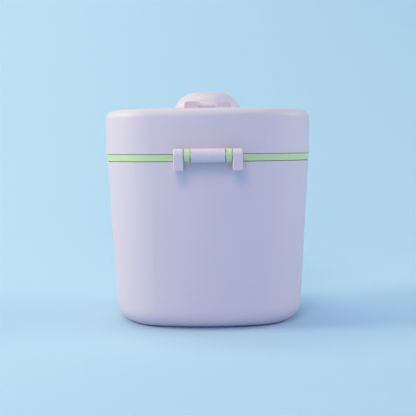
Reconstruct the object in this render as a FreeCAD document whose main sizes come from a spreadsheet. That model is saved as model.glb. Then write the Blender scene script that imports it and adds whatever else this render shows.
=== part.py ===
import FreeCAD, Part
import math
import os
import re
import Sketcher

from FreeCAD import Placement, Rotation, Vector

# A travel container for milk powder, in millimetres.
# The origin is on the floor, under the middle of the tub. +Z is up. The hinge is at the back,
# on the -Y side, and the latch is at the front, on the +Y side.
#
# From the bottom up: a tapered tub, a levelling frame that swings on the tub, a lid that swings
# on the same hinge pin, and a domed cap that closes the pouring spout in the lid.

SIZES = {
    # The oblong outline, as eight arcs that run into each other, at the lid.
    "half_width": 65.0,
    "half_depth": 48.0,
    "face_radius": 156.0,
    "end_radius": 90.0,
    "corner_radius": 39.5,
    # Play and gaps between pieces.
    "seam_gap": 0.3,
    "lid_gap": 0.15,
    "seat_gap": 0.05,
    "fit_gap": 0.15,
    "pin_play": 0.05,
    "side_gap": 0.35,
    "edge_round": 0.35,
    # The tub.
    "band_inset": 0.5,
    "tub_height": 101.8,
    "tub_wall": 2.2,
    "tub_slope": 2.97,
    "floor_thickness": 2.6,
    "foot_round": 11.8,
    "foot_ring": 3.0,
    "foot_recess": 0.8,
    # The hinge at the back.
    "hinge_reach": 6.2,
    "hinge_drop": 0.75,
    "knuckle_radius": 4.0,
    "hinge_gap": 0.5,
    "barrel_half": 9.9,
    "barrel_round": 0.4,
    "knuckle_width": 3.15,
    "ear_width": 5.8,
    "ear_drop": 8.5,
    "ear_step": 1.2,
    "ear_round": 0.8,
    "pin_radius": 1.5,
    "pin_inset": 0.5,
    "pin_chamfer": 0.3,
    # The levelling frame, its spigot and its silicone ring.
    "frame_height": 4.15,
    "deck_thickness": 1.8,
    "ring_gap": 0.4,
    "ring_width": 1.15,
    "ring_height": 2.0,
    "spigot_depth": 3.5,
    "spigot_wall": 1.6,
    "lip_stand": 0.7,
    "lip_height": 1.0,
    "mouth_side_room": 14.0,
    "mouth_front_room": 10.0,
    "mouth_back_room": 26.0,
    "mouth_front_round": 24.0,
    "mouth_back_round": 8.0,
    "blade_width": 1.8,
    "blade_height": 1.4,
    # The lid, its liner and its silicone seal.
    "lid_height": 27.0,
    "lid_wall": 2.2,
    "lid_roof": 2.2,
    "lid_round": 5.4,
    "flange_lift": 0.8,
    "flange_thickness": 2.2,
    "liner_inset": 7.0,
    "liner_wall": 1.6,
    "seal_inset": 3.4,
    "seal_width": 2.2,
    "seal_groove": 0.9,
    "seal_lift": 0.15,
    # The pouring spout, a collar that snaps into the lid's roof.
    "spout_bore": 11.5,
    "spout_wall": 1.7,
    "spout_rim": 2.0,
    "spout_depth": 7.4,
    "collar_reach": 1.8,
    "collar_thickness": 1.0,
    "collar_bead": 0.3,
    # The domed cap, its hinge and its plug.
    "cap_height": 12.3,
    "cap_radius": 21.65,
    "crown_radius": 70.0,
    "shoulder_radius": 15.0,
    "cap_wall": 1.8,
    "cap_gap": 0.4,
    "lug_reach": 2.4,
    "lug_start": 5.05,
    "lug_width": 9.4,
    "lug_height": 5.0,
    "lug_depth": 4.4,
    "lug_corner": 2.0,
    "lug_round": 0.7,
    "cap_pin_height": 2.0,
    "cap_pin_radius": 0.8,
    "cap_pin_inset": 1.2,
    "cap_knuckle_radius": 1.6,
    "tongue_gap": 0.2,
    "tongue_slope": 15.0,
    "tongue_length": 5.5,
    "boss_radius": 9.0,
    "boss_wall": 1.8,
    "thumb_half_width": 7.0,
    "thumb_reach": 2.6,
    "thumb_thickness": 1.8,
    "thumb_round": 2.0,
    "plug_flange_radius": 14.2,
    "plug_flange_thickness": 1.8,
    "plug_depth": 2.0,
    "plug_gap": 0.5,
    "plug_draft": 0.6,
    # The latch at the front.
    "latch_half_width": 13.0,
    "latch_stand": 3.6,
    "latch_rise": 6.6,
    "latch_hub_radius": 2.8,
    "latch_thickness": 2.4,
    "latch_ear_radius": 3.0,
    "latch_ear_width": 3.0,
    "latch_ear_round": 0.7,
    "latch_pin_radius": 1.2,
    "latch_pin_inset": 0.4,
    "latch_tail": 13.0,
    "latch_straight": 4.0,
    "latch_flare": 4.2,
    "lever_round": 0.9,
    "lever_corner": 4.0,
    "grip_radius": 0.6,
    "grip_half_width": 9.0,
    "grip_pitch": 2.6,
    "bead_stand": 0.2,
    "bead_height": 1.2,
    "bead_slope": 1.8,
    "keeper_drop": 8.8,
    "keeper_half_width": 10.0,
    "keeper_stand": 0.7,
    "keeper_height": 1.2,
    "keeper_slope": 2.0,
    "keeper_gap": 0.4,
    # The scoop and the fingers that hold its handle.
    "scoop_end_room": 20.0,
    "spout_room": 0.5,
    "scoop_gap": 0.5,
    "scoop_front_room": 33.8,
    "scoop_taper": 2.2,
    "scoop_depth": 17.0,
    "scoop_wall": 1.2,
    "scoop_foot_round": 2.5,
    "handle_end_room": 22.0,
    "handle_half_width": 4.5,
    "handle_thickness": 2.6,
    "handle_round": 4.0,
    "handle_recess": 1.2,
    "handle_rim": 1.3,
    "finger_length": 7.0,
    "finger_width": 1.3,
    "finger_height": 4.6,
    "finger_gap": 0.3,
    "finger_cup_room": 21.6,
    "finger_tip_room": 14.0,
    # How far a rib or an arm runs into the wall that carries it.
    "root": 8.0,
}

# Places that follow from the sizes.
PLACES = {
    "cavity_inset": "band_inset + tub_wall",
    "foot_inset": "band_inset + tub_height * tan(tub_slope) + foot_round + foot_ring",
    "frame_floor": "tub_height + seam_gap",
    "frame_top": "frame_floor + frame_height",
    "lid_floor": "frame_top + lid_gap",
    "lid_top": "lid_floor + lid_height",
    "hinge_y": "0 - half_depth - hinge_reach",
    "hinge_z": "frame_top - hinge_drop",
    "knuckle_start": "barrel_half + hinge_gap",
    "ear_start": "knuckle_start + knuckle_width + hinge_gap",
    "ear_end": "ear_start + ear_width",
    "spigot_inset": "cavity_inset + ring_gap + ring_width + seat_gap",
    "spigot_floor": "frame_floor - spigot_depth",
    "flange_inset": "lid_wall + fit_gap",
    "flange_floor": "lid_floor + flange_lift",
    "liner_top": "lid_top - lid_roof",
    "liner_ceiling": "liner_top - liner_wall",
    "mouth_half_width": "half_width - mouth_side_room",
    "mouth_front": "half_depth - mouth_front_room",
    "mouth_back": "half_depth - mouth_back_room",
    "spout_radius": "spout_bore + spout_wall",
    "cap_floor": "lid_top + cap_gap",
    "cap_top": "lid_top + cap_height",
    "cap_hinge_y": "0 - cap_radius - lug_reach",
    "cap_hinge_z": "lid_top + cap_pin_height",
    "lug_end": "lug_start + lug_width",
    "lug_top": "lid_top + lug_height",
    "lug_back": "cap_hinge_y - lug_depth / 2",
    "tongue_back": "cap_hinge_y - cap_knuckle_radius * sin(tongue_slope)",
    "tongue_back_z": "cap_hinge_z + cap_knuckle_radius * cos(tongue_slope)",
    "tongue_crest": "tongue_back + tongue_length * cos(tongue_slope)",
    "tongue_crest_z": "tongue_back_z + tongue_length * sin(tongue_slope)",
    "plug_seat": "lid_top + spout_rim + seat_gap",
    "plug_top": "plug_seat + plug_flange_thickness",
    "latch_y": "half_depth + latch_stand",
    "latch_z": "lid_floor + latch_rise",
    "latch_ear_start": "latch_half_width + side_gap",
    "latch_ear_end": "latch_ear_start + latch_ear_width",
    "keeper_z": "tub_height - keeper_drop",
    "latch_foot": "keeper_z - latch_tail",
    "latch_bend": "keeper_z - latch_straight",
    "scoop_radius": "half_depth - scoop_front_room",
    "scoop_foot_radius": "scoop_radius - scoop_taper",
    "scoop_x": "half_width - scoop_end_room - scoop_radius",
    "handle_reach": "scoop_x + half_width - handle_end_room",
    "first_finger": "scoop_radius + finger_cup_room - scoop_x",
    "second_finger": "half_width - handle_end_room - finger_tip_room",
    "scoop_y": "spout_radius + spout_room + finger_width + finger_gap + handle_half_width",
    "scoop_z": "liner_ceiling - scoop_gap",
}

document = FreeCAD.newDocument("MilkPowderContainer")
sheet = document.addObject("Spreadsheet::Sheet", "Sizes")
for row, (name, size) in enumerate(SIZES.items(), start=1):
    sheet.set("A%d" % row, name)
    sheet.set("B%d" % row, str(size))
    sheet.setAlias("B%d" % row, name)
document.recompute()


# Formulas

def spell(formula):
    """Write a formula of plain words out as one that reads the sheet."""
    def replace(match):
        word = match.group(0)
        if word in PLACES:
            return "(" + spell(PLACES[word]) + ")"
        return "Sizes." + word if word in SIZES else word
    return re.sub("[a-z_]+", replace, formula)


def value(formula):
    """The number that a formula gives now."""
    return float(sheet.evalExpression(spell(formula)))


# Sketches

def new_body(name):
    body = document.addObject("PartDesign::Body", name)
    body.Label = name
    return body


def origin_part(body, role):
    return [part for part in body.Origin.OriginFeatures if part.Role == role][0]


def new_sketch(body, name, plane, level):
    """A sketch on one of the body's planes, moved along the plane's normal to a level."""
    sketch = body.newObject("Sketcher::SketchObject", name)
    sketch.AttachmentSupport = [(origin_part(body, plane), "")]
    sketch.MapMode = "FlatFace"
    sketch.setExpression("AttachmentOffset.Base.z", spell(level))
    return sketch


def join(sketch, kind, *ends):
    return sketch.addConstraint(Sketcher.Constraint(kind, *ends))


def tie(sketch, kind, *ends, size):
    """A dimension whose number comes from a formula."""
    number = join(sketch, kind, *ends, value(size))
    sketch.setExpression("Constraints[%d]" % number, spell(size))


def place_point(sketch, edge, end, x, y):
    tie(sketch, "DistanceX", -1, 1, edge, end, size=x)
    tie(sketch, "DistanceY", -1, 1, edge, end, size=y)


def draw_arc(sketch, centre, radius, start, end):
    circle = Part.Circle(centre, Vector(0, 0, 1), radius)
    return sketch.addGeometry(Part.ArcOfCircle(circle, start, end))


def draw_circle(sketch, x, y, radius):
    circle = Part.Circle(Vector(value(x), value(y), 0), Vector(0, 0, 1), value(radius))
    edge = sketch.addGeometry(circle)
    place_point(sketch, edge, 3, x, y)
    tie(sketch, "Radius", edge, size=radius)


def draw_polygon(sketch, corners):
    points = [Vector(value(x), value(y), 0) for x, y in corners]
    first = sketch.GeometryCount
    for start, end in zip(points, points[1:] + points[:1]):
        sketch.addGeometry(Part.LineSegment(start, end))
    for place, (x, y) in enumerate(corners):
        following = first + (place + 1) % len(corners)
        join(sketch, "Coincident", first + place, 2, following, 1)
        place_point(sketch, first + place, 1, x, y)


def rectangle(low_x, high_x, low_y, high_y):
    return [(low_x, low_y), (high_x, low_y), (high_x, high_y), (low_x, high_y)]


def circles_meet(centre_a, radius_a, centre_b, radius_b):
    """The two points where two circles cross."""
    across = centre_b - centre_a
    along = (radius_a ** 2 - radius_b ** 2 + across.Length ** 2) / (2 * across.Length)
    rise = math.sqrt(radius_a ** 2 - along ** 2)
    step = across / across.Length
    side = Vector(-step.y, step.x, 0)
    return [centre_a + step * along + side * rise, centre_a + step * along - side * rise]


def draw_outline(sketch, inset):
    """The oblong outline, an even inset inside the lid's: two faces, two ends and four corners."""
    face = value("face_radius") - value(inset)
    end = value("end_radius") - value(inset)
    corner = value("corner_radius") - value(inset)
    face_centre = Vector(0, value("half_depth - face_radius"), 0)
    end_centre = Vector(value("half_width - end_radius"), 0, 0)
    meets = circles_meet(face_centre, face - corner, end_centre, end - corner)
    middle = max(meets, key=lambda point: point.x + point.y)
    face_turn = math.atan2(middle.y - face_centre.y, middle.x - face_centre.x)
    end_turn = math.atan2(middle.y - end_centre.y, middle.x - end_centre.x)
    half = math.pi
    arcs = [
        draw_arc(sketch, end_centre, end, -end_turn, end_turn),
        draw_arc(sketch, middle, corner, end_turn, face_turn),
        draw_arc(sketch, face_centre, face, face_turn, half - face_turn),
        draw_arc(sketch, Vector(-middle.x, middle.y, 0), corner, half - face_turn, half - end_turn),
        draw_arc(sketch, -end_centre, end, half - end_turn, half + end_turn),
        draw_arc(sketch, -middle, corner, half + end_turn, half + face_turn),
        draw_arc(sketch, -face_centre, face, half + face_turn, 2 * half - face_turn),
        draw_arc(sketch, Vector(middle.x, -middle.y, 0), corner, -face_turn, -end_turn),
    ]
    for place, arc in enumerate(arcs):
        join(sketch, "Tangent", arc, 2, arcs[(place + 1) % len(arcs)], 1)
    right, _, front, _, left, _, back, _ = arcs
    corners = arcs[1::2]
    join(sketch, "Equal", front, back)
    join(sketch, "Equal", left, right)
    for other in corners[1:]:
        join(sketch, "Equal", corners[0], other)
    join(sketch, "PointOnObject", front, 3, -2)
    join(sketch, "PointOnObject", back, 3, -2)
    join(sketch, "PointOnObject", right, 3, -1)
    join(sketch, "PointOnObject", left, 3, -1)
    tie(sketch, "Radius", front, size="face_radius - (%s)" % inset)
    tie(sketch, "Radius", right, size="end_radius - (%s)" % inset)
    tie(sketch, "Radius", corners[0], size="corner_radius - (%s)" % inset)
    tie(sketch, "DistanceY", -1, 1, front, 3, size="half_depth - face_radius")
    tie(sketch, "DistanceY", -1, 1, back, 3, size="face_radius - half_depth")
    tie(sketch, "DistanceX", -1, 1, right, 3, size="half_width - end_radius")
    tie(sketch, "DistanceX", -1, 1, left, 3, size="end_radius - half_width")


# Features

def pad(body, name, sketch, length, down=False, slope=None, middle=False):
    feature = body.newObject("PartDesign::Pad", name)
    feature.Profile = sketch
    feature.setExpression("Length", spell(length))
    feature.Reversed = down
    feature.Midplane = middle
    if slope:
        feature.setExpression("TaperAngle", spell(slope))
    document.recompute()
    return feature


def pocket(body, name, sketch, length, up=False, slope=None, middle=False):
    """A cut from the sketch against its normal, or along it. It has to take something away."""
    before = body.Tip.Shape.Volume
    feature = body.newObject("PartDesign::Pocket", name)
    feature.Profile = sketch
    feature.setExpression("Length", spell(length))
    feature.Reversed = up
    feature.Midplane = middle
    if slope:
        feature.setExpression("TaperAngle", spell(slope))
    document.recompute()
    if feature.Shape.Volume >= before:
        raise RuntimeError(name + " cuts nothing")
    return feature


def spin(body, name, sketch):
    """A full turn of a profile about the sketch's upright axis."""
    feature = body.newObject("PartDesign::Revolution", name)
    feature.Profile = sketch
    feature.ReferenceAxis = (sketch, ["V_Axis"])
    feature.Angle = 360
    document.recompute()
    return feature


def groove(body, name, sketch):
    """A full turn of a profile that takes something away."""
    before = body.Tip.Shape.Volume
    feature = body.newObject("PartDesign::Groove", name)
    feature.Profile = sketch
    feature.ReferenceAxis = (sketch, ["V_Axis"])
    feature.Angle = 360
    document.recompute()
    if feature.Shape.Volume >= before:
        raise RuntimeError(name + " cuts nothing")
    return feature


def mirror(body, name, originals):
    """The same features on the other side of the container's middle plane."""
    feature = body.newObject("PartDesign::Mirrored", name)
    feature.Originals = originals
    feature.MirrorPlane = (origin_part(body, "YZ_Plane"), [""])
    body.Tip = feature
    document.recompute()
    return feature


def stack(body, name, originals, pitch, copies):
    """The same features again and again, one above the other."""
    feature = body.newObject("PartDesign::LinearPattern", name)
    feature.Originals = originals
    feature.Direction = (origin_part(body, "Z_Axis"), [""])
    feature.setExpression("Length", "%d * (%s)" % (copies - 1, spell(pitch)))
    feature.Occurrences = copies
    body.Tip = feature
    document.recompute()
    return feature


def chosen_edges(feature, wanted):
    edges = enumerate(feature.Shape.Edges, start=1)
    return ["Edge%d" % number for number, edge in edges if wanted(edge)]


def dress(body, kind, name, wanted, **sizes):
    """A fillet or a chamfer on the edges of the body's last feature that are wanted."""
    base = body.Tip
    edges = chosen_edges(base, wanted)
    if not edges:
        raise RuntimeError(name + " finds no edges")
    feature = body.newObject("PartDesign::" + kind, name)
    feature.Base = (base, edges)
    for size, formula in sizes.items():
        feature.setExpression(size, spell(formula))
    document.recompute()
    return feature


def near(a, b):
    return abs(a - b) < 0.001


def profile_edges(stations, inside):
    """Wants the edges that lie across X at one of the stations, on either side, and are inside."""
    places = [value(station) for station in stations]

    def wanted(edge):
        box = edge.BoundBox
        crosses = near(box.XLength, 0) and any(near(abs(box.XMin), place) for place in places)
        return crosses and inside(box)
    return wanted


def back_of(y):
    """Wants what reaches further back than a line across the container."""
    limit = value(y)
    return lambda box: box.YMin < limit


def front_of(y):
    """Wants what reaches further forward than a line across the container."""
    limit = value(y)
    return lambda box: box.YMax > limit


def above(z):
    """Wants what reaches higher than a level."""
    limit = value(z)
    return lambda box: box.ZMax > limit + value("edge_round")


def flat_at(level):
    """Wants the edges that lie flat at a level."""
    height = value(level)
    return lambda edge: near(edge.BoundBox.ZMin, height) and near(edge.BoundBox.ZMax, height)


def flat_rim_at(level, inset):
    """Wants the edges that lie flat at a level and are a stretch of an outline with this inset."""
    height = value(level)
    radii = [value("%s - (%s)" % (name, inset)) for name in ("face_radius", "end_radius", "corner_radius")]

    def wanted(edge):
        if not (near(edge.BoundBox.ZMin, height) and near(edge.BoundBox.ZMax, height)):
            return False
        if not isinstance(edge.Curve, Part.Circle):
            return False
        return any(near(edge.Curve.Radius, radius) for radius in radii)
    return wanted


# The tub: a tapered oblong beaker with two hinge ears at the back and a keeper rib at the front.

def make_tub():
    body = new_body("tub")
    sketch = new_sketch(body, "TubRim", "XY_Plane", "tub_height")
    draw_outline(sketch, "band_inset")
    pad(body, "TubBlock", sketch, "tub_height", down=True, slope="0 - tub_slope")
    dress(body, "Fillet", "TubRimRound", flat_at("tub_height"), Radius="edge_round")

    sketch = new_sketch(body, "EarShank", "YZ_Plane", "ear_start")
    draw_polygon(sketch, [
        ("hinge_y - knuckle_radius", "hinge_z"),
        ("hinge_y - knuckle_radius", "hinge_z - ear_drop"),
        ("root - half_depth", "hinge_z - ear_drop"),
        ("root - half_depth", "tub_height - ear_step"),
        ("hinge_y + knuckle_radius", "tub_height - ear_step"),
        ("hinge_y + knuckle_radius", "hinge_z"),
    ])
    shank = pad(body, "EarShankPad", sketch, "ear_width")
    sketch = new_sketch(body, "EarEye", "YZ_Plane", "ear_start")
    draw_circle(sketch, "hinge_y", "hinge_z", "knuckle_radius")
    eye = pad(body, "EarEyePad", sketch, "ear_width")
    mirror(body, "Ears", [shank, eye])
    dress(body, "Fillet", "EarRound", profile_edges(["ear_start", "ear_end"], back_of("0 - half_depth")),
          Radius="ear_round")

    sketch = new_sketch(body, "Keeper", "YZ_Plane", "0")
    draw_polygon(sketch, [
        ("half_depth - root", "keeper_z"),
        ("half_depth + keeper_stand", "keeper_z"),
        ("half_depth + keeper_stand", "keeper_z + keeper_height"),
        ("half_depth - band_inset - tub_wall / 2", "keeper_z + keeper_height + keeper_slope"),
        ("half_depth - root", "keeper_z + keeper_height + keeper_slope"),
    ])
    pad(body, "KeeperPad", sketch, "2 * keeper_half_width", middle=True)

    sketch = new_sketch(body, "TubMouth", "XY_Plane", "tub_height")
    draw_outline(sketch, "cavity_inset")
    pocket(body, "TubCavity", sketch, "tub_height - floor_thickness", slope="0 - tub_slope")
    dress(body, "Fillet", "TubCavityFoot", flat_at("floor_thickness"), Radius="foot_round - tub_wall")
    dress(body, "Fillet", "TubFoot", flat_at("0"), Radius="foot_round")

    sketch = new_sketch(body, "FootRecess", "XY_Plane", "0")
    draw_outline(sketch, "foot_inset")
    pocket(body, "FootRecessCut", sketch, "foot_recess", up=True)

    sketch = new_sketch(body, "EarBore", "YZ_Plane", "0")
    draw_circle(sketch, "hinge_y", "hinge_z", "pin_radius + pin_play")
    pocket(body, "EarBoreCut", sketch, "4 * ear_end", middle=True)
    return body


# The levelling frame: a ring that sits on the tub, with a deck whose straight back edge levels the scoop.

def make_frame():
    body = new_body("level_frame")
    sketch = new_sketch(body, "FrameBand", "XY_Plane", "frame_floor")
    draw_outline(sketch, "band_inset")
    pad(body, "FrameBandPad", sketch, "frame_height")
    dress(body, "Fillet", "FrameBandRound", flat_rim_at("frame_top", "band_inset"), Radius="edge_round")
    dress(body, "Fillet", "FrameFloorRound", flat_rim_at("frame_floor", "band_inset"), Radius="edge_round")

    sketch = new_sketch(body, "Spigot", "XY_Plane", "frame_floor")
    draw_outline(sketch, "spigot_inset")
    pad(body, "SpigotPad", sketch, "spigot_depth", down=True)
    sketch = new_sketch(body, "SpigotLip", "XY_Plane", "spigot_floor")
    draw_outline(sketch, "spigot_inset - lip_stand")
    pad(body, "SpigotLipPad", sketch, "lip_height")
    sketch = new_sketch(body, "SpigotHollow", "XY_Plane", "spigot_floor")
    draw_outline(sketch, "spigot_inset + spigot_wall")
    pocket(body, "SpigotHollowCut", sketch, "spigot_depth + frame_height - deck_thickness", up=True)

    sketch = new_sketch(body, "Blade", "XY_Plane", "frame_top - deck_thickness / 2")
    reach = "mouth_half_width - mouth_back_round"
    draw_polygon(sketch, rectangle("0 - (%s)" % reach, reach, "0 - mouth_back - blade_width", "0 - mouth_back"))
    pad(body, "BladePad", sketch, "blade_height + deck_thickness / 2")

    sketch = new_sketch(body, "DeckMouth", "XY_Plane", "frame_top")
    draw_mouth(sketch)
    pocket(body, "DeckMouthCut", sketch, "frame_height")

    sketch = new_sketch(body, "FrameArm", "YZ_Plane", "knuckle_start")
    draw_polygon(sketch, rectangle("hinge_y", "lid_wall - half_depth", "frame_floor", "frame_top"))
    arm = pad(body, "FrameArmPad", sketch, "knuckle_width")
    sketch = new_sketch(body, "FrameKnuckle", "YZ_Plane", "knuckle_start")
    draw_circle(sketch, "hinge_y", "hinge_z", "knuckle_radius")
    knuckle = pad(body, "FrameKnucklePad", sketch, "knuckle_width")
    mirror(body, "FrameKnuckles", [arm, knuckle])
    sketch = new_sketch(body, "FrameBore", "YZ_Plane", "0")
    draw_circle(sketch, "hinge_y", "hinge_z", "pin_radius + pin_play")
    pocket(body, "FrameBoreCut", sketch, "4 * ear_end", middle=True)
    return body


def draw_mouth(sketch):
    """The deck's opening: straight at the back, with wide round corners at the front."""
    right = value("mouth_half_width")
    front = value("mouth_front")
    back = -value("mouth_back")
    wide = value("mouth_front_round")
    tight = value("mouth_back_round")
    quarter = math.pi / 2
    lines = [
        Part.LineSegment(Vector(right, back + tight, 0), Vector(right, front - wide, 0)),
        Part.LineSegment(Vector(right - wide, front, 0), Vector(wide - right, front, 0)),
        Part.LineSegment(Vector(-right, front - wide, 0), Vector(-right, back + tight, 0)),
        Part.LineSegment(Vector(tight - right, back, 0), Vector(right - tight, back, 0)),
    ]
    centres = [
        (Vector(right - wide, front - wide, 0), wide, 0),
        (Vector(wide - right, front - wide, 0), wide, quarter),
        (Vector(tight - right, back + tight, 0), tight, 2 * quarter),
        (Vector(right - tight, back + tight, 0), tight, 3 * quarter),
    ]
    edges = []
    for line, (centre, radius, start) in zip(lines, centres):
        edges.append(sketch.addGeometry(line))
        edges.append(draw_arc(sketch, centre, radius, start, start + quarter))
    for place, edge in enumerate(edges):
        join(sketch, "Tangent", edge, 2, edges[(place + 1) % len(edges)], 1)
    side, front_right, front_edge, front_left, other_side, back_left, back_edge, back_right = edges
    join(sketch, "Vertical", side)
    join(sketch, "Horizontal", front_edge)
    join(sketch, "Vertical", other_side)
    join(sketch, "Horizontal", back_edge)
    join(sketch, "Equal", front_right, front_left)
    join(sketch, "Equal", back_right, back_left)
    tie(sketch, "Radius", front_right, size="mouth_front_round")
    tie(sketch, "Radius", back_right, size="mouth_back_round")
    tie(sketch, "DistanceX", -1, 1, side, 1, size="mouth_half_width")
    tie(sketch, "DistanceX", -1, 1, other_side, 1, size="0 - mouth_half_width")
    tie(sketch, "DistanceY", -1, 1, front_edge, 1, size="mouth_front")
    tie(sketch, "DistanceY", -1, 1, back_edge, 1, size="0 - mouth_back")


def make_frame_ring():
    """The silicone ring in the spigot's groove, which closes the tub."""
    body = new_body("frame_gasket")
    sketch = new_sketch(body, "RingSection", "XY_Plane", "spigot_floor + lip_height + seat_gap")
    draw_outline(sketch, "cavity_inset + ring_gap")
    draw_outline(sketch, "cavity_inset + ring_gap + ring_width")
    pad(body, "RingPad", sketch, "ring_height")
    return body


# The lid: a flat-topped cover with the hinge barrel, the spout, the cap's lugs and the latch's ears.

def make_lid():
    body = new_body("lid_cover")
    sketch = new_sketch(body, "LidOutline", "XY_Plane", "lid_floor")
    draw_outline(sketch, "0")
    pad(body, "LidBlock", sketch, "lid_height")
    dress(body, "Fillet", "LidTopRound", flat_at("lid_top"), Radius="lid_round")
    dress(body, "Fillet", "LidFloorRound", flat_at("lid_floor"), Radius="edge_round")

    sketch = new_sketch(body, "BarrelWeb", "YZ_Plane", "0")
    draw_polygon(sketch, rectangle("hinge_y", "root - half_depth", "lid_floor", "hinge_z + knuckle_radius"))
    pad(body, "BarrelWebPad", sketch, "2 * barrel_half", middle=True)
    sketch = new_sketch(body, "Barrel", "YZ_Plane", "0")
    draw_circle(sketch, "hinge_y", "hinge_z", "knuckle_radius")
    pad(body, "BarrelPad", sketch, "2 * barrel_half", middle=True)
    dress(body, "Fillet", "BarrelRound", profile_edges(["barrel_half"], above("hinge_z + knuckle_radius / 2")),
          Radius="barrel_round")

    sketch = new_sketch(body, "LatchEarWeb", "YZ_Plane", "latch_ear_start")
    low = "latch_z - latch_ear_radius"
    high = "latch_z + latch_ear_radius"
    draw_polygon(sketch, rectangle("half_depth - root", "latch_y", low, high))
    web = pad(body, "LatchEarWebPad", sketch, "latch_ear_width")
    sketch = new_sketch(body, "LatchEarEye", "YZ_Plane", "latch_ear_start")
    draw_circle(sketch, "latch_y", "latch_z", "latch_ear_radius")
    eye = pad(body, "LatchEarEyePad", sketch, "latch_ear_width")
    mirror(body, "LatchEars", [web, eye])
    dress(body, "Fillet", "LatchEarRound", profile_edges(["latch_ear_start", "latch_ear_end"],
          front_of("half_depth")), Radius="latch_ear_round")

    sketch = new_sketch(body, "LidMouth", "XY_Plane", "lid_floor")
    draw_outline(sketch, "lid_wall")
    pocket(body, "LidCavity", sketch, "lid_height - lid_roof", up=True)
    dress(body, "Fillet", "LidCavityRound", flat_at("liner_top"), Radius="lid_round - lid_wall")

    sketch = new_sketch(body, "SpoutEye", "XY_Plane", "lid_top")
    draw_circle(sketch, "0", "0", "spout_radius + seat_gap")
    pocket(body, "SpoutEyeCut", sketch, "2 * lid_roof")

    sketch = new_sketch(body, "Lug", "XZ_Plane", "0 - lug_back - lug_depth")
    draw_polygon(sketch, rectangle("lug_start", "lug_end", "lid_top - lid_roof / 2", "lug_top"))
    lug = pad(body, "LugPad", sketch, "lug_depth")
    mirror(body, "Lugs", [lug])
    top = value("lug_top")
    dress(body, "Fillet", "LugCorners", lambda edge: near(edge.BoundBox.ZMin, top) and
          near(edge.BoundBox.XLength, 0), Radius="lug_corner")
    back = value("lug_back")
    dress(body, "Fillet", "LugRound", lambda edge: near(edge.BoundBox.YMin, back) and
          near(edge.BoundBox.YLength, 0) and edge.BoundBox.ZMax > value("cap_hinge_z"), Radius="lug_round")

    sketch = new_sketch(body, "BarrelBore", "YZ_Plane", "0")
    draw_circle(sketch, "hinge_y", "hinge_z", "pin_radius + pin_play")
    pocket(body, "BarrelBoreCut", sketch, "4 * barrel_half", middle=True)
    sketch = new_sketch(body, "LatchBore", "YZ_Plane", "0")
    draw_circle(sketch, "latch_y", "latch_z", "latch_pin_radius + pin_play")
    pocket(body, "LatchBoreCut", sketch, "4 * latch_ear_end", middle=True)
    sketch = new_sketch(body, "LugBore", "YZ_Plane", "0")
    draw_circle(sketch, "cap_hinge_y", "cap_hinge_z", "cap_pin_radius + pin_play")
    pocket(body, "LugBoreCut", sketch, "4 * lug_end", middle=True)
    return body


def make_liner():
    """The lid's inner shell: a flange with the seal's groove, a box for the scoop and its clip fingers."""
    body = new_body("lid_liner")
    sketch = new_sketch(body, "LinerFlange", "XY_Plane", "flange_floor")
    draw_outline(sketch, "flange_inset")
    pad(body, "LinerFlangePad", sketch, "flange_thickness")
    sketch = new_sketch(body, "LinerBox", "XY_Plane", "flange_floor")
    draw_outline(sketch, "liner_inset")
    pad(body, "LinerBoxPad", sketch, "liner_top - flange_floor")
    sketch = new_sketch(body, "LinerHollow", "XY_Plane", "flange_floor")
    draw_outline(sketch, "liner_inset + liner_wall")
    pocket(body, "LinerHollowCut", sketch, "liner_ceiling - flange_floor", up=True)
    sketch = new_sketch(body, "SealGroove", "XY_Plane", "flange_floor")
    draw_outline(sketch, "seal_inset - seat_gap")
    draw_outline(sketch, "seal_inset + seal_width + seat_gap")
    pocket(body, "SealGrooveCut", sketch, "seal_groove + seat_gap", up=True)
    sketch = new_sketch(body, "LinerEye", "XY_Plane", "liner_top")
    draw_circle(sketch, "0", "0", "spout_radius + fit_gap")
    pocket(body, "LinerEyeCut", sketch, "2 * liner_wall")
    for column in ("first_finger", "second_finger"):
        for side in ("+", "-"):
            inner = "scoop_y %s (handle_half_width + finger_gap)" % side
            outer = "scoop_y %s (handle_half_width + finger_gap + finger_width)" % side
            low, high = (inner, outer) if side == "+" else (outer, inner)
            sketch = new_sketch(body, "Finger", "XY_Plane", "liner_ceiling + liner_wall / 2")
            draw_polygon(sketch, rectangle(column, column + " + finger_length", low, high))
            pad(body, "FingerPad", sketch, "finger_height + liner_wall / 2", down=True)
    return body


def make_lid_seal():
    """The silicone seal in the liner's flange, which closes on the frame's deck."""
    body = new_body("lid_gasket")
    sketch = new_sketch(body, "SealSection", "XY_Plane", "frame_top + seal_lift")
    draw_outline(sketch, "seal_inset")
    draw_outline(sketch, "seal_inset + seal_width")
    pad(body, "SealPad", sketch, "flange_floor + seal_groove - frame_top - seal_lift")
    return body


def make_collar():
    """The pouring spout: a tube whose flange lies on the lid and whose bead snaps in under the liner."""
    body = new_body("spout_collar")
    sketch = new_sketch(body, "CollarSection", "XZ_Plane", "0")
    flange = "spout_radius + collar_reach"
    bead = "spout_radius + collar_bead"
    bead_top = "liner_ceiling - seat_gap"
    draw_polygon(sketch, [
        ("spout_bore", "lid_top - spout_depth"),
        ("spout_radius", "lid_top - spout_depth"),
        ("spout_radius", bead_top + " - 2 * collar_bead"),
        (bead, bead_top + " - collar_bead"),
        (bead, bead_top),
        ("spout_radius", bead_top),
        ("spout_radius", "lid_top + seat_gap"),
        (flange, "lid_top + seat_gap"),
        (flange, "lid_top + collar_thickness"),
        ("spout_radius", "lid_top + collar_thickness"),
        ("spout_radius", "lid_top + spout_rim"),
        ("spout_bore", "lid_top + spout_rim"),
    ])
    spin(body, "Collar", sketch)
    return body


# Pins run along X through each hinge.

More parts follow.
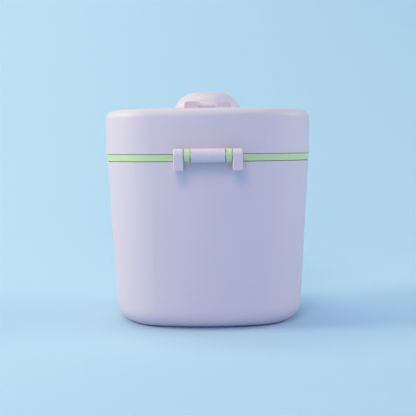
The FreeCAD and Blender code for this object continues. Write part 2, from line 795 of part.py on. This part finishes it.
def make_pin(name, y, z, radius, half_length):
    body = new_body(name)
    sketch = new_sketch(body, "PinSection", "YZ_Plane", "0")
    draw_circle(sketch, y, z, radius)
    pad(body, "PinPad", sketch, "2 * (%s)" % half_length, middle=True)
    end = value(half_length)
    dress(body, "Chamfer", "PinEnds", lambda edge: near(abs(edge.BoundBox.XMin), end) and
          near(edge.BoundBox.XLength, 0), Size="pin_chamfer")
    return body


# The cap: a low dome over the spout, with a tongue between the lugs and a boss for the plug.

def draw_dome(sketch, inset):
    """Half of the dome's section, an even inset inside its skin: a flat crown and a tight shoulder."""
    top = value("cap_top")
    floor = value("cap_floor")
    crown = value("crown_radius")
    shoulder = value("shoulder_radius")
    step = value(inset)
    crown_centre = Vector(0, top - crown, 0)
    foot = Vector(value("cap_radius"), floor, 0)
    centre = min(circles_meet(crown_centre, crown - shoulder, foot, shoulder), key=lambda point: point.x)
    turn = math.atan2(centre.y - crown_centre.y, centre.x - crown_centre.x)
    drop = math.asin((floor - centre.y) / (shoulder - step))
    edge = Vector(centre.x + (shoulder - step) * math.cos(drop), floor, 0)
    crown_arc = draw_arc(sketch, crown_centre, crown - step, turn, math.pi / 2)
    shoulder_arc = draw_arc(sketch, centre, shoulder - step, drop, turn)
    base = sketch.addGeometry(Part.LineSegment(edge, Vector(0, floor, 0)))
    axis = sketch.addGeometry(Part.LineSegment(Vector(0, floor, 0), Vector(0, top - step, 0)))
    spoke = sketch.addGeometry(Part.LineSegment(centre, foot), True)
    join(sketch, "Tangent", crown_arc, 1, shoulder_arc, 2)
    join(sketch, "Coincident", shoulder_arc, 1, base, 1)
    join(sketch, "Coincident", base, 2, axis, 1)
    join(sketch, "Coincident", axis, 2, crown_arc, 2)
    join(sketch, "Coincident", spoke, 1, shoulder_arc, 3)
    join(sketch, "PointOnObject", crown_arc, 3, -2)
    join(sketch, "Horizontal", base)
    tie(sketch, "Radius", crown_arc, size="crown_radius - (%s)" % inset)
    tie(sketch, "Radius", shoulder_arc, size="shoulder_radius - (%s)" % inset)
    tie(sketch, "Distance", spoke, size="shoulder_radius")
    place_point(sketch, spoke, 2, "cap_radius", "cap_floor")
    place_point(sketch, axis, 1, "0", "cap_floor")
    place_point(sketch, axis, 2, "0", "cap_top - (%s)" % inset)


def make_cap():
    body = new_body("pour_cap")
    sketch = new_sketch(body, "DomeSection", "XZ_Plane", "0")
    draw_dome(sketch, "0")
    spin(body, "Dome", sketch)

    sketch = new_sketch(body, "Tongue", "YZ_Plane", "0")
    draw_polygon(sketch, [
        ("cap_hinge_y", "cap_floor"),
        ("tongue_crest", "cap_floor"),
        ("tongue_crest", "tongue_crest_z"),
        ("tongue_back", "tongue_back_z"),
        ("cap_hinge_y", "cap_hinge_z"),
    ])
    pad(body, "TonguePad", sketch, "2 * (lug_start - tongue_gap)", middle=True)
    sketch = new_sketch(body, "TongueKnuckle", "YZ_Plane", "0")
    draw_circle(sketch, "cap_hinge_y", "cap_hinge_z", "cap_knuckle_radius")
    pad(body, "TongueKnucklePad", sketch, "2 * (lug_start - tongue_gap)", middle=True)

    sketch = new_sketch(body, "DomeHollow", "XZ_Plane", "0")
    draw_dome(sketch, "cap_wall")
    groove(body, "DomeHollowCut", sketch)
    sketch = new_sketch(body, "Boss", "XY_Plane", "plug_top")
    draw_circle(sketch, "0", "0", "boss_radius")
    draw_circle(sketch, "0", "0", "boss_radius - boss_wall")
    pad(body, "BossPad", sketch, "cap_top - cap_wall * 0.8 - plug_top")

    sketch = new_sketch(body, "ThumbTab", "XY_Plane", "cap_floor")
    reach = "cap_radius + thumb_reach"
    draw_polygon(sketch, rectangle("0 - thumb_half_width", "thumb_half_width", "cap_radius - cap_wall", reach))
    pad(body, "ThumbTabPad", sketch, "thumb_thickness")
    tip = value(reach)
    dress(body, "Fillet", "ThumbTabRound", lambda edge: near(edge.BoundBox.YMin, tip) and
          near(edge.BoundBox.XLength, 0), Radius="thumb_round")

    sketch = new_sketch(body, "TongueBore", "YZ_Plane", "0")
    draw_circle(sketch, "cap_hinge_y", "cap_hinge_z", "cap_pin_radius + pin_play")
    pocket(body, "TongueBoreCut", sketch, "4 * lug_start", middle=True)
    return body


def make_plug():
    """The silicone plug: a flange that lies on the spout's rim and a stub inside its bore."""
    body = new_body("cap_plug")
    sketch = new_sketch(body, "PlugSection", "XZ_Plane", "0")
    stub = "spout_bore - plug_gap"
    draw_polygon(sketch, [
        ("0", "lid_top - plug_depth"),
        (stub + " - plug_draft", "lid_top - plug_depth"),
        (stub, "plug_seat"),
        ("plug_flange_radius", "plug_seat"),
        ("plug_flange_radius", "plug_top"),
        ("0", "plug_top"),
    ])
    spin(body, "Plug", sketch)
    return body


# The latch: a lever on the lid whose bead bears under the tub's keeper.

def make_latch():
    body = new_body("latch_lever")
    sketch = new_sketch(body, "LeverSection", "YZ_Plane", "0")
    inner = "latch_y - latch_thickness / 2"
    outer = "latch_y + latch_thickness / 2"
    bead = "half_depth + bead_stand"
    bead_top = "keeper_z - keeper_gap"
    draw_polygon(sketch, [
        (inner, "latch_z"),
        (inner, bead_top),
        (bead, bead_top),
        (bead, bead_top + " - bead_height"),
        (inner, bead_top + " - bead_height - bead_slope"),
        (inner + " + latch_flare", "latch_foot"),
        (outer + " + latch_flare", "latch_foot"),
        (outer, "latch_bend"),
        (outer, "latch_z"),
    ])
    pad(body, "LeverPad", sketch, "2 * latch_half_width", middle=True)
    sketch = new_sketch(body, "LeverHub", "YZ_Plane", "0")
    draw_circle(sketch, "latch_y", "latch_z", "latch_hub_radius")
    pad(body, "LeverHubPad", sketch, "2 * latch_half_width", middle=True)
    foot = value("latch_foot")
    dress(body, "Fillet", "LeverCorners", lambda edge: near(edge.BoundBox.ZMax, foot) and
          near(edge.BoundBox.XLength, 0), Radius="lever_corner")
    dress(body, "Fillet", "LeverFootRound", lambda edge: near(edge.BoundBox.ZMax, foot) and
          not near(edge.BoundBox.XLength, 0), Radius="lever_round")
    sketch = new_sketch(body, "Grip", "YZ_Plane", "0")
    draw_circle(sketch, outer, "latch_bend + grip_pitch / 2", "grip_radius")
    ridge = pad(body, "GripPad", sketch, "2 * grip_half_width", middle=True)
    stack(body, "Grips", [ridge], "grip_pitch", 3)
    sketch = new_sketch(body, "LeverBore", "YZ_Plane", "0")
    draw_circle(sketch, "latch_y", "latch_z", "latch_pin_radius + pin_play")
    pocket(body, "LeverBoreCut", sketch, "4 * latch_half_width", middle=True)
    return body


# The scoop: a tapered cup with a flat handle, stored mouth up under the liner's roof.

def make_scoop():
    body = new_body("scoop")
    body.setExpression("Placement.Base.x", spell("0 - scoop_x"))
    body.setExpression("Placement.Base.y", spell("scoop_y"))
    body.setExpression("Placement.Base.z", spell("scoop_z"))
    sketch = new_sketch(body, "HandleBar", "XY_Plane", "0")
    start = "scoop_radius - scoop_wall"
    draw_polygon(sketch, rectangle(start, "handle_reach", "0 - handle_half_width", "handle_half_width"))
    pad(body, "HandlePad", sketch, "handle_thickness", down=True)
    tip = value("handle_reach")
    dress(body, "Fillet", "HandleEnd", lambda edge: near(edge.BoundBox.XMin, tip) and
          near(edge.BoundBox.YLength, 0), Radius="handle_round")
    sketch = new_sketch(body, "HandleRecess", "XY_Plane", "0")
    side = "handle_half_width - handle_rim"
    recess = rectangle("scoop_radius + handle_rim", "handle_reach - handle_round", "0 - (%s)" % side, side)
    draw_polygon(sketch, recess)
    pocket(body, "HandleRecessCut", sketch, "handle_recess")

    sketch = new_sketch(body, "CupBlock", "XZ_Plane", "0")
    draw_polygon(sketch, [
        ("0", "0 - scoop_depth"),
        ("scoop_foot_radius", "0 - scoop_depth"),
        ("scoop_radius", "0"),
        ("0", "0"),
    ])
    spin(body, "Cup", sketch)
    dress(body, "Fillet", "CupFoot", lambda edge: near(edge.BoundBox.ZMax, value("scoop_z - scoop_depth")) or
          near(edge.BoundBox.ZMax, -value("scoop_depth")), Radius="scoop_foot_round")
    sketch = new_sketch(body, "CupHollow", "XZ_Plane", "0")
    draw_polygon(sketch, [
        ("0", "scoop_wall - scoop_depth"),
        ("scoop_foot_radius - scoop_wall", "scoop_wall - scoop_depth"),
        ("scoop_radius - scoop_wall", "0"),
        ("0", "0"),
    ])
    groove(body, "CupHollowCut", sketch)
    return body


pieces = [
    make_tub(),
    make_frame(),
    make_frame_ring(),
    make_lid(),
    make_liner(),
    make_lid_seal(),
    make_collar(),
    make_pin("hinge_pin", "hinge_y", "hinge_z", "pin_radius", "ear_end - pin_inset"),
    make_cap(),
    make_plug(),
    make_pin("cap_pin", "cap_hinge_y", "cap_hinge_z", "cap_pin_radius", "lug_end - cap_pin_inset"),
    make_latch(),
    make_pin("latch_pin", "latch_y", "latch_z", "latch_pin_radius", "latch_ear_end - latch_pin_inset"),
    make_scoop(),
]
document.recompute()

for item in document.Objects:
    if "Invalid" in item.State or "Error" in item.State:
        raise RuntimeError(item.Label + " failed: " + str(item.State))
for piece in pieces:
    if piece.Shape.isNull() or not piece.Shape.isValid():
        raise RuntimeError(piece.Label + " has no valid shape")

os.makedirs("parts", exist_ok=True)
for piece in pieces:
    piece.Shape.exportStep(os.path.join("parts", piece.Label + ".step"))
    print(piece.Label, round(piece.Shape.Volume / 1000, 2), "cm3", len(piece.Shape.Solids), "solid")
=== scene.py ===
import math

import bpy
from mathutils import Matrix, Vector


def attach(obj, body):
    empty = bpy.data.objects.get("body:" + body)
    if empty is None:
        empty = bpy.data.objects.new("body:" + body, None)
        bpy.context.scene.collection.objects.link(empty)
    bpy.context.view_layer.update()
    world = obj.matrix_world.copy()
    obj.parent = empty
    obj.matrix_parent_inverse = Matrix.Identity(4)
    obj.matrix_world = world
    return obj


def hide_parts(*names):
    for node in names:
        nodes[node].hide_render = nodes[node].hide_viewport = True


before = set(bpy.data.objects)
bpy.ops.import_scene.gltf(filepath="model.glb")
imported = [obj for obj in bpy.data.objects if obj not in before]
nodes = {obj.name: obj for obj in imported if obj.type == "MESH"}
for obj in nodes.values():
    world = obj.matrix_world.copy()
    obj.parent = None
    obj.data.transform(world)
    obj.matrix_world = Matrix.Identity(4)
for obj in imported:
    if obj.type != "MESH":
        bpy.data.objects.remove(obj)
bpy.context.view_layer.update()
scene = bpy.context.scene

# Camera. A 60 mm lens stands 11 cm above the table, 45 cm behind the container's middle. It looks at
# the hinge side and slightly down, and the picture is turned by half a degree.

camera_place = Vector((-0.00024, -0.450, 0.110))
camera_pitch = math.radians(5.0)
camera_roll = math.radians(0.507)
lens_length = 59.7
sensor_width = 36.0
camera_data = bpy.data.cameras.new("camera")
camera_data.sensor_width = sensor_width
camera_data.lens = lens_length
camera = bpy.data.objects.new("camera", camera_data)
scene.collection.objects.link(camera)
camera_nod = Matrix.Rotation(math.pi / 2 - camera_pitch, 4, "X")
camera_lean = Matrix.Rotation(-camera_roll, 4, "Z")
camera.matrix_world = Matrix.Translation(camera_place) @ camera_nod @ camera_lean
scene.camera = camera

# Backdrop. Pale blue paper lies flat under the container and sweeps up in a long curve all round it,
# so that every view has the same ground with no edge. Its blue also tints the shade on the walls.

paper_radius = 1.35
paper_sweep = 0.95
paper_top = 1.9
paper_steps = 24
paper_sides = 96
paper_colour = (0.45, 0.61, 0.90)
paper_roughness = 0.9
paper_rings = []
for step in range(paper_steps + 1):
    turn = math.pi / 2 * step / paper_steps
    rise = paper_sweep * (1 - math.cos(turn))
    paper_rings.append((paper_radius - paper_sweep * (1 - math.sin(turn)), rise))
paper_rings.append((paper_radius, paper_top))
paper_points = [Vector((0, 0, 0))]
for radius, rise in paper_rings:
    for side in range(paper_sides):
        turn = 2 * math.pi * side / paper_sides
        paper_points.append(Vector((radius * math.cos(turn), radius * math.sin(turn), rise)))
paper_faces = [(0, 1 + side, 1 + (side + 1) % paper_sides) for side in range(paper_sides)]
for ring in range(len(paper_rings) - 1):
    low = 1 + ring * paper_sides
    high = low + paper_sides
    for side in range(paper_sides):
        following = (side + 1) % paper_sides
        paper_faces.append((low + side, high + side, high + following, low + following))
paper_mesh = bpy.data.meshes.new("backdrop")
paper_mesh.from_pydata(paper_points, [], paper_faces)
paper_mesh.shade_smooth()
paper = bpy.data.objects.new("backdrop", paper_mesh)
scene.collection.objects.link(paper)
blue_paper = bpy.data.materials.new("pale_blue_paper")
blue_paper.use_nodes = True
paper_shader = blue_paper.node_tree.nodes["Principled BSDF"]
paper_shader.inputs["Base Color"].default_value = paper_colour + (1,)
paper_shader.inputs["Roughness"].default_value = paper_roughness
paper_mesh.materials.append(blue_paper)

# Light. A small warm lamp on the left models the round end, a second one by the camera throws the
# hinge's shadow down the wall, and wider ones light the top and the right and wash the paper behind.

container_middle = (0.0, 0.0, 0.07)
sky_colour = (0.0, 0.35, 1.0)
sky_strength = 0.24


def place_lamp(name, place, width, power, colour, aim=container_middle):
    """A round lamp `width` metres across and of `power` watts, turned towards `aim`."""
    data = bpy.data.lights.new(name, "AREA")
    data.shape = "DISK"
    data.size = width
    data.energy = power
    data.color = colour
    lamp = bpy.data.objects.new(name, data)
    lamp.location = place
    lamp.rotation_euler = (Vector(aim) - Vector(place)).to_track_quat("-Z", "Y").to_euler()
    scene.collection.objects.link(lamp)


place_lamp("left_lamp", place=(-1.1, -0.12, 0.75), width=0.42, power=8.8, colour=(1.0, 0.93, 0.44))
place_lamp("front_lamp", place=(-0.25, -1.0, 0.85), width=0.6, power=5.2, colour=(0.94, 0.77, 0.47))
place_lamp("top_lamp", place=(0.0, 0.0, 1.5), width=0.7, power=3.0, colour=(0.5, 0.93, 0.9))
place_lamp("right_lamp", place=(1.1, 0.0, 0.6), width=0.6, power=5.5, colour=(0.96, 0.90, 0.45))
place_lamp("wall_lamp", place=(-0.45, 0.3, 1.3), width=0.8, power=8.4, colour=(1.0, 0.92, 0.45),
           aim=(-0.3, 1.3, 0.6))
sky = bpy.data.worlds.new("sky")
scene.world = sky
sky.use_nodes = True
sky_light = sky.node_tree.nodes["Background"]
sky_light.inputs["Color"].default_value = sky_colour + (1,)
sky_light.inputs["Strength"].default_value = sky_strength
scene.view_settings.view_transform = "Standard"

# Tub. One deep injection moulding in lilac polypropylene, with the two hinge ears at its back and the
# latch's keeper in front. The mould is spark-eroded, which leaves a fine satin grain, and the tone
# drifts a little with the wall.

lilac_colour = (0.69, 0.57, 0.745)
tub_grain = 1800.0
tub_gloss = (0.42, 0.50)
tub_relief = 0.00003
drift_scale = 14.0
drift_detail = 2.0
drift_share = 0.02
skin_detail = 3.0
skin_strength = 0.5


def moulded_plastic(name, colour, grain, gloss, relief):
    """Plastic with `grain` bumps to the metre, `relief` metres high. `gloss` spans its roughness."""
    material = bpy.data.materials.new(name)
    material.use_nodes = True
    tree = material.node_tree
    shader = tree.nodes["Principled BSDF"]
    place = tree.nodes.new("ShaderNodeTexCoord")
    drift = tree.nodes.new("ShaderNodeTexNoise")
    drift.inputs["Scale"].default_value = drift_scale
    drift.inputs["Detail"].default_value = drift_detail
    tone = tree.nodes.new("ShaderNodeMix")
    tone.data_type = "RGBA"
    darker, lighter = [socket for socket in tone.inputs if socket.type == "RGBA"]
    darker.default_value = tuple((1 - drift_share) * channel for channel in colour) + (1,)
    lighter.default_value = tuple((1 + drift_share) * channel for channel in colour) + (1,)
    skin = tree.nodes.new("ShaderNodeTexNoise")
    skin.inputs["Scale"].default_value = grain
    skin.inputs["Detail"].default_value = skin_detail
    sheen = tree.nodes.new("ShaderNodeMapRange")
    sheen.inputs["To Min"].default_value, sheen.inputs["To Max"].default_value = gloss
    bump = tree.nodes.new("ShaderNodeBump")
    bump.inputs["Strength"].default_value = skin_strength
    bump.inputs["Distance"].default_value = relief
    for texture in (drift, skin):
        tree.links.new(place.outputs["Object"], texture.inputs["Vector"])
    blend = next(socket for socket in tone.outputs if socket.type == "RGBA")
    tree.links.new(drift.outputs["Fac"], tone.inputs["Factor"])
    tree.links.new(blend, shader.inputs["Base Color"])
    tree.links.new(skin.outputs["Fac"], sheen.inputs["Value"])
    tree.links.new(sheen.outputs["Result"], shader.inputs["Roughness"])
    tree.links.new(skin.outputs["Fac"], bump.inputs["Height"])
    tree.links.new(bump.outputs["Normal"], shader.inputs["Normal"])
    return material


lilac_satin = moulded_plastic("lilac_satin_plastic", lilac_colour, tub_grain, tub_gloss, tub_relief)
nodes["tub"].material_slots[0].material = lilac_satin

# Level frame. The band between tub and lid, with its deck and straight levelling edge, is one moulding
# in spring green polypropylene, on two knuckles that turn between the tub's ears and the barrel.

green_colour = (0.55, 0.68, 0.43)
green_satin = moulded_plastic("green_satin_plastic", green_colour, tub_grain, tub_gloss, tub_relief)
nodes["level_frame"].material_slots[0].material = green_satin

# Hinge pins. Three straight lengths of drawn stainless wire with chamfered ends: the long one is held
# in the tub's ears and carries frame and lid, the thin one the cap, the third the latch.

steel_colour = (0.62, 0.62, 0.64)
steel_gloss = (0.22, 0.38)
streak_stretch = (60.0, 7000.0, 7000.0)
streak_depth = 0.000004

drawn_steel = bpy.data.materials.new("drawn_steel")
drawn_steel.use_nodes = True
steel_tree = drawn_steel.node_tree
steel_shader = steel_tree.nodes["Principled BSDF"]
steel_shader.inputs["Base Color"].default_value = steel_colour + (1,)
steel_shader.inputs["Metallic"].default_value = 1.0
steel_place = steel_tree.nodes.new("ShaderNodeTexCoord")
steel_stretch = steel_tree.nodes.new("ShaderNodeMapping")
steel_stretch.inputs["Scale"].default_value = streak_stretch
steel_streaks = steel_tree.nodes.new("ShaderNodeTexNoise")
steel_streaks.inputs["Scale"].default_value = 1.0
steel_sheen = steel_tree.nodes.new("ShaderNodeMapRange")
steel_sheen.inputs["To Min"].default_value, steel_sheen.inputs["To Max"].default_value = steel_gloss
steel_bump = steel_tree.nodes.new("ShaderNodeBump")
steel_bump.inputs["Distance"].default_value = streak_depth
steel_tree.links.new(steel_place.outputs["Object"], steel_stretch.inputs["Vector"])
steel_tree.links.new(steel_stretch.outputs["Vector"], steel_streaks.inputs["Vector"])
steel_tree.links.new(steel_streaks.outputs["Fac"], steel_sheen.inputs["Value"])
steel_tree.links.new(steel_sheen.outputs["Result"], steel_shader.inputs["Roughness"])
steel_tree.links.new(steel_streaks.outputs["Fac"], steel_bump.inputs["Height"])
steel_tree.links.new(steel_bump.outputs["Normal"], steel_shader.inputs["Normal"])
for pin in ("hinge_pin", "cap_pin", "latch_pin"):
    nodes[pin].material_slots[0].material = drawn_steel

# Seals. Two endless rings of clear silicone follow the container's oblong outline: one lies in the
# frame's groove and closes the tub, the other hangs in the liner's flange and closes on the deck.

half_width = 0.065
half_depth = 0.048
end_radius = 0.090
face_radius = 0.156
corner_radius = 0.0395
arc_steps = 22
frame_seal_inset = 0.003675
frame_seal_level = 0.10065
frame_seal_depth = 0.00115
frame_seal_height = 0.0020
lid_seal_inset = 0.0045
lid_seal_level = 0.10725
lid_seal_depth = 0.0017
lid_seal_width = 0.0022
lip_depth = 0.00035
lip_count = 2
seal_cuts = 11
silicone_colour = (0.80, 0.82, 0.84)
silicone_clearness = 0.35
silicone_index = 1.41

clear_silicone = moulded_plastic("clear_silicone", silicone_colour, grain=900.0, gloss=(0.36, 0.46),
                                 relief=0.00001)
silicone_shader = clear_silicone.node_tree.nodes["Principled BSDF"]
silicone_shader.inputs["Transmission Weight"].default_value = silicone_clearness
silicone_shader.inputs["IOR"].default_value = silicone_index


def outline_ring(inset, level):
    """Points round the outline, `inset` inside the lid's edge: two ends, two faces and four corners."""
    face_middle = Vector((0, half_depth - face_radius))
    end_middle = Vector((half_width - end_radius, 0))
    face_reach = face_radius - corner_radius
    end_reach = end_radius - corner_radius
    apart = end_middle - face_middle
    along = (face_reach ** 2 - end_reach ** 2 + apart.length ** 2) / (2 * apart.length)
    across = math.sqrt(face_reach ** 2 - along ** 2)
    way = apart.normalized()
    corner = face_middle + along * way + across * Vector((way.y, -way.x))
    face_turn = math.atan2(corner.y - face_middle.y, corner.x)
    end_turn = math.atan2(corner.y, corner.x - end_middle.x)
    quarter = [(end_middle, end_radius, 0, end_turn), (corner, corner_radius, end_turn, face_turn),
               (face_middle, face_radius, face_turn, math.pi / 2)]
    corner_points = []
    for middle, radius, start, stop in quarter:
        for step in range(arc_steps):
            turn = start + (stop - start) * step / arc_steps
            reach = radius - inset
            corner_points.append((middle.x + reach * math.cos(turn), middle.y + reach * math.sin(turn)))
    top = (0.0, half_depth - inset)
    mirrored = [(-x, y) for x, y in reversed(corner_points[1:])]
    upper = corner_points + [top] + mirrored
    lower = [(-x, -y) for x, y in upper]
    return [Vector((x, y, level)) for x, y in upper + lower]


def build_seal_tree():
    """Sweeps a lipped section along the ring. The lips stand on the side that `Turn` points."""
    tree = bpy.data.node_groups.new("lipped_seal", "GeometryNodeTree")
    tree.interface.new_socket("Geometry", in_out="INPUT", socket_type="NodeSocketGeometry")
    for name in ("Depth", "Breadth", "Lip Depth", "Turn"):
        tree.interface.new_socket(name, in_out="INPUT", socket_type="NodeSocketFloat")
    for name in ("Lips", "Cuts"):
        tree.interface.new_socket(name, in_out="INPUT", socket_type="NodeSocketInt")
    tree.interface.new_socket("Material", in_out="INPUT", socket_type="NodeSocketMaterial")
    tree.interface.new_socket("Geometry", in_out="OUTPUT", socket_type="NodeSocketGeometry")
    add = tree.nodes.new
    join = tree.links.new
    given = add("NodeGroupInput").outputs
    made = add("NodeGroupOutput").inputs

    def sum_up(operation, first, second=None):
        step = add("ShaderNodeMath")
        step.operation = operation
        for place, value in enumerate((first, second)):
            if isinstance(value, (int, float)):
                step.inputs[place].default_value = value
            elif value is not None:
                join(value, step.inputs[place])
        return step.outputs["Value"]

    section = add("GeometryNodeCurvePrimitiveQuadrilateral")
    join(given["Depth"], section.inputs["Width"])
    join(given["Breadth"], section.inputs["Height"])
    finer = add("GeometryNodeSubdivideCurve")
    join(section.outputs["Curve"], finer.inputs["Curve"])
    join(given["Cuts"], finer.inputs["Cuts"])
    place = add("ShaderNodeSeparateXYZ")
    join(add("GeometryNodeInputPosition").outputs["Position"], place.inputs["Vector"])
    share = sum_up("ADD", sum_up("DIVIDE", place.outputs["Y"], given["Breadth"]), 0.5)
    wave = sum_up("COSINE", sum_up("MULTIPLY", sum_up("MULTIPLY", share, given["Lips"]), 2 * math.pi))
    hollow = sum_up("MULTIPLY", sum_up("ADD", wave, 1.0), sum_up("MULTIPLY", given["Lip Depth"], -0.5))
    lipped_side = sum_up("GREATER_THAN", place.outputs["X"], 0.0)
    shift = add("ShaderNodeCombineXYZ")
    join(sum_up("MULTIPLY", hollow, lipped_side), shift.inputs["X"])
    lips = add("GeometryNodeSetPosition")
    join(finer.outputs["Curve"], lips.inputs["Geometry"])
    join(shift.outputs["Vector"], lips.inputs["Offset"])
    turned = add("GeometryNodeTransform")
    spin = add("ShaderNodeCombineXYZ")
    join(given["Turn"], spin.inputs["Z"])
    join(lips.outputs["Geometry"], turned.inputs["Geometry"])
    join(spin.outputs["Vector"], turned.inputs["Rotation"])
    ring = add("GeometryNodeMeshToCurve")
    join(given["Geometry"], ring.inputs["Mesh"])
    upright = add("GeometryNodeSetCurveNormal")
    upright.mode = "Z_UP"
    join(ring.outputs["Curve"], upright.inputs["Curve"])
    sweep = add("GeometryNodeCurveToMesh")
    join(upright.outputs["Curve"], sweep.inputs["Curve"])
    join(turned.outputs["Geometry"], sweep.inputs["Profile Curve"])
    smooth = add("GeometryNodeSetShadeSmooth")
    join(sweep.outputs["Mesh"], smooth.inputs["Geometry"])
    real = add("GeometryNodeRealizeInstances")
    join(smooth.outputs["Geometry"], real.inputs["Geometry"])
    finish = add("GeometryNodeSetMaterial")
    join(real.outputs["Geometry"], finish.inputs["Geometry"])
    join(given["Material"], finish.inputs["Material"])
    join(finish.outputs["Geometry"], made["Geometry"])
    return tree


seal_tree = build_seal_tree()
seal_inputs = {item.name: item.identifier for item in seal_tree.interface.items_tree
               if item.in_out == "INPUT"}


def make_seal(name, points, sizes):
    """Bakes the seal's tree with the given `sizes` on a closed ring of points into a plain mesh."""
    path = bpy.data.meshes.new(name + "_path")
    path.from_pydata(points, [(place, (place + 1) % len(points)) for place in range(len(points))], [])
    seal = bpy.data.objects.new(name, path)
    scene.collection.objects.link(seal)
    modifier = seal.modifiers.new("lipped_seal", "NODES")
    modifier.node_group = seal_tree
    for socket, size in sizes.items():
        modifier[seal_inputs[socket]] = size
    baked = seal.evaluated_get(bpy.context.evaluated_depsgraph_get())
    seal.data = bpy.data.meshes.new_from_object(baked)
    seal.modifiers.clear()
    return seal


shared = {"Lip Depth": lip_depth, "Lips": lip_count, "Cuts": seal_cuts, "Material": clear_silicone}
frame_seal = make_seal("frame_seal", outline_ring(frame_seal_inset, frame_seal_level),
                       {"Depth": frame_seal_depth, "Breadth": frame_seal_height, "Turn": 0.0, **shared})
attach(frame_seal, "frame")
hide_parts("frame_gasket")
lid_seal = make_seal("lid_seal", outline_ring(lid_seal_inset, lid_seal_level),
                     {"Depth": lid_seal_depth, "Breadth": lid_seal_width, "Turn": math.pi / 2,
                      **shared})
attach(lid_seal, "lid")
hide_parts("lid_gasket")

# Lid cover. A lilac moulding from the same batch as the tub, with the barrel of the hinge at its back,
# the two lugs of the cap's hinge on its flat roof, and the ears for the latch in front.

nodes["lid_cover"].material_slots[0].material = lilac_satin

# Lid liner. The inner shell that holds the scoop is pressed into the cover. Its mould is polished and
# not grained, so that powder doesn't cling to it, and the lilac looks a little deeper there.

lilac_polished = moulded_plastic("lilac_polished_plastic", lilac_colour, grain=1200.0,
                                 gloss=(0.25, 0.29), relief=0.000004)
nodes["lid_liner"].material_slots[0].material = lilac_polished

# Spout collar. A turned-looking moulded tube that is pushed down through the roof of the lid until its
# bead snaps in under the liner. It is polished too, for the powder runs through it.

nodes["spout_collar"].material_slots[0].material = lilac_polished

# Pour cap. A hollow lilac dome whose tongue turns on the thin pin between the lid's lugs, so that it
# tips back off the spout. A flanged plug of the clear silicone under its boss stops the spout.

nodes["pour_cap"].material_slots[0].material = lilac_satin
nodes["cap_plug"].material_slots[0].material = clear_silicone

# Latch lever. A lilac lever with a ribbed, flared tail. It swings on its pin between the lid's ears,
# and the bead inside it snaps under the keeper on the front of the tub.

nodes["latch_lever"].material_slots[0].material = lilac_satin

# Scoop. A small tapered cup with a flat handle, moulded in white polypropylene with a finer grain than
# the container's, and clipped mouth up under the roof of the lid.

white_colour = (0.86, 0.86, 0.88)
white_satin = moulded_plastic("white_satin_plastic", white_colour, grain=2600.0, gloss=(0.34, 0.42),
                              relief=0.00002)
nodes["scoop"].material_slots[0].material = white_satin
